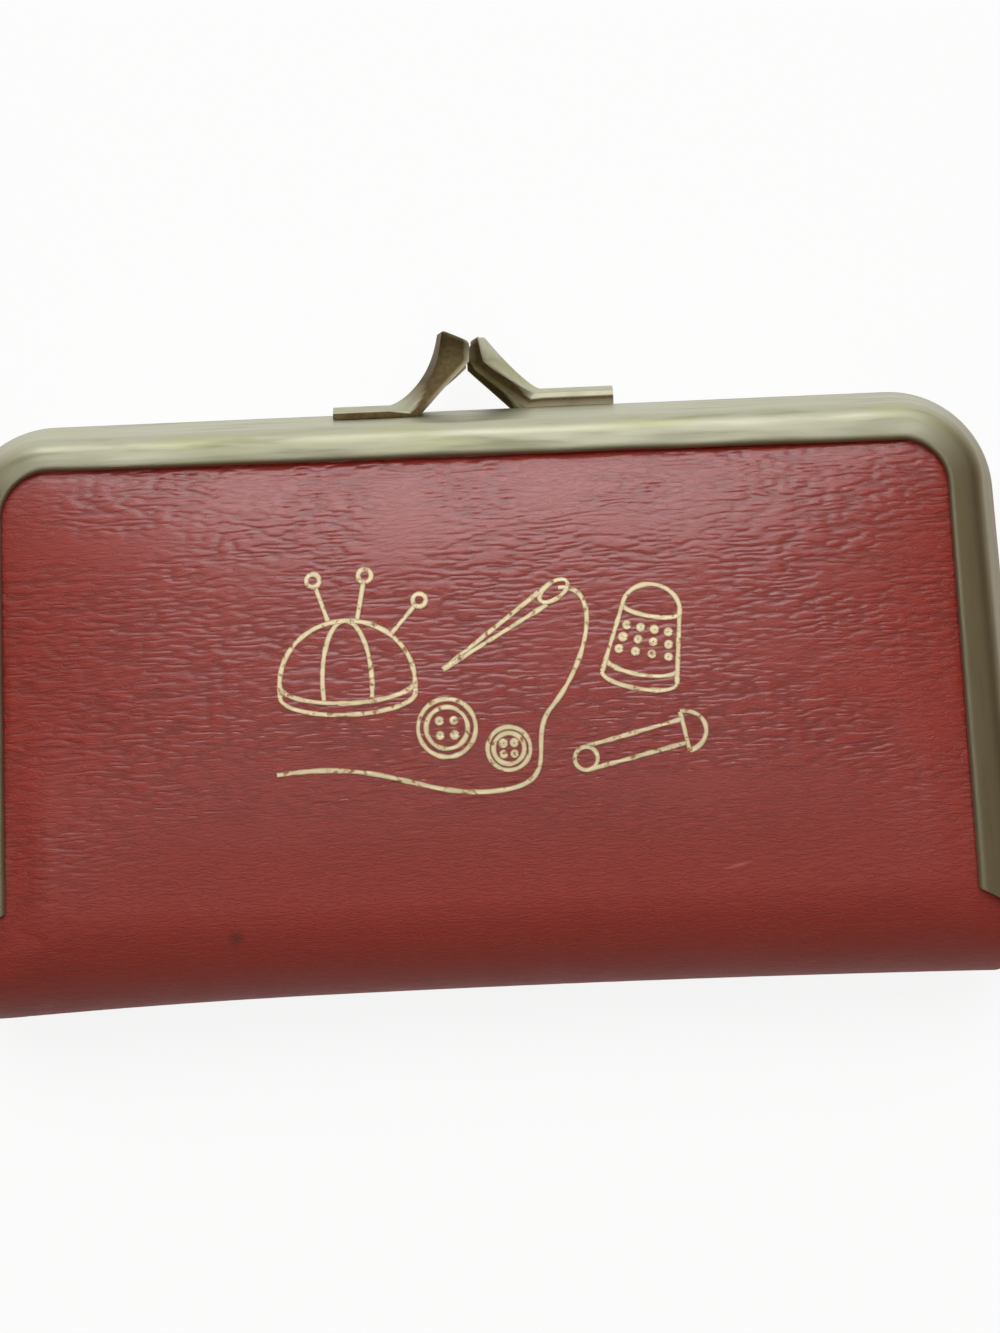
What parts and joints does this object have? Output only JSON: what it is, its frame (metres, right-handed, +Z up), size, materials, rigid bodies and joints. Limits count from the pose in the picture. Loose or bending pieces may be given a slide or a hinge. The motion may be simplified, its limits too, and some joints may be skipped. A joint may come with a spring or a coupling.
{
  "type": "travel sewing kit",
  "caption": "Clutch-style travel sewing kit: padded leatherette covers in a hinged brass snap frame, lined inside, holding scissors, thread, thimble and notions.",
  "frame": {"origin": "middle of the flat face of the back cover, on which the case lies", "axes": "+X along the spine to the right as seen from the front cover, +Y from the spine to the clasp, +Z up from the back cover through the front cover"},
  "size_m": [0.1358, 0.0825, 0.0275],
  "materials": {
    "brass_frame": "rolled sheet, lacquered, pale gold",
    "leatherette": "semi-gloss straight-grain leatherette",
    "padding": "soft cotton wadding",
    "card": "grey-brown pressed board",
    "satin": "gold satin on card",
    "steel": "nickel-plated steel",
    "brass_small": "bright brass",
    "elastic": "black elastic ribbon",
    "spool_wood": "turned beech",
    "thread_white": "cotton thread",
    "thread_black": "cotton thread",
    "thread_blue": "cotton thread",
    "thread_red": "cotton thread",
    "felt": "pressed wool felt",
    "paper_card": "thin white card",
    "button": "polished, pearl white",
    "aluminium_plate": "stamped sheet"
  },
  "bodies": {
    "back_half": {"back_frame": "brass_frame", "left_hinge_rivet": "brass_frame", "right_hinge_rivet": "brass_frame", "back_clasp_arm": "brass_frame", "back_cover": "leatherette", "spine_cover": "leatherette", "back_padding": "padding", "back_board": "card", "spine_lining": "satin", "back_lining": "satin", "scissors_lower_blade": "steel", "scissors_screw": "brass_small", "scissors_strap": "elastic", "thread_rod": "steel", "rod_brackets": "brass_small", "thimble": "steel", "thimble_loop": "elastic"},
    "front_half": {"front_frame": "brass_frame", "front_clasp_arm": "brass_frame", "front_cover": "leatherette", "front_padding": "padding", "front_board": "card", "front_lining": "satin", "needle_pad": "felt", "needles": "steel", "button_card": "paper_card", "shirt_buttons": "button", "safety_pins": "brass_small", "threader_plate": "aluminium_plate", "threader_wire": "steel"},
    "scissors_upper": {"scissors_upper_blade": "steel"},
    "spool_1": {"spool_1": "spool_wood", "thread_1": "thread_white"},
    "spool_2": {"spool_2": "spool_wood", "thread_2": "thread_black"},
    "spool_3": {"spool_3": "spool_wood", "thread_3": "thread_blue"},
    "spool_4": {"spool_4": "spool_wood", "thread_4": "thread_red"}
  },
  "joints": [
    {"name": "case_hinge", "type": "hinge", "parent": "back_half", "child": "front_half", "pos_m": [0, -0.0245, 0.0135], "axis": [1, 0, 0], "range_deg": [0, 120], "deforming": ["spine_cover", "spine_lining"]},
    {"name": "scissors_pivot", "type": "hinge", "parent": "back_half", "child": "scissors_upper", "pos_m": [-0.02086, 0.00058, 0.0066], "axis": [0, 0, -1], "range_deg": [0, 28]},
    {"name": "spool_1_spin", "type": "hinge", "parent": "back_half", "child": "spool_1", "pos_m": [0.02914, 0.00058, 0.0106], "axis": [0, 1, 0], "continuous": true},
    {"name": "spool_2_spin", "type": "hinge", "parent": "back_half", "child": "spool_2", "pos_m": [0.02914, 0.00058, 0.0106], "axis": [0, 1, 0], "continuous": true},
    {"name": "spool_3_spin", "type": "hinge", "parent": "back_half", "child": "spool_3", "pos_m": [0.02914, 0.00058, 0.0106], "axis": [0, 1, 0], "continuous": true},
    {"name": "spool_4_spin", "type": "hinge", "parent": "back_half", "child": "spool_4", "pos_m": [0.02914, 0.00058, 0.0106], "axis": [0, 1, 0], "continuous": true}
  ]
}
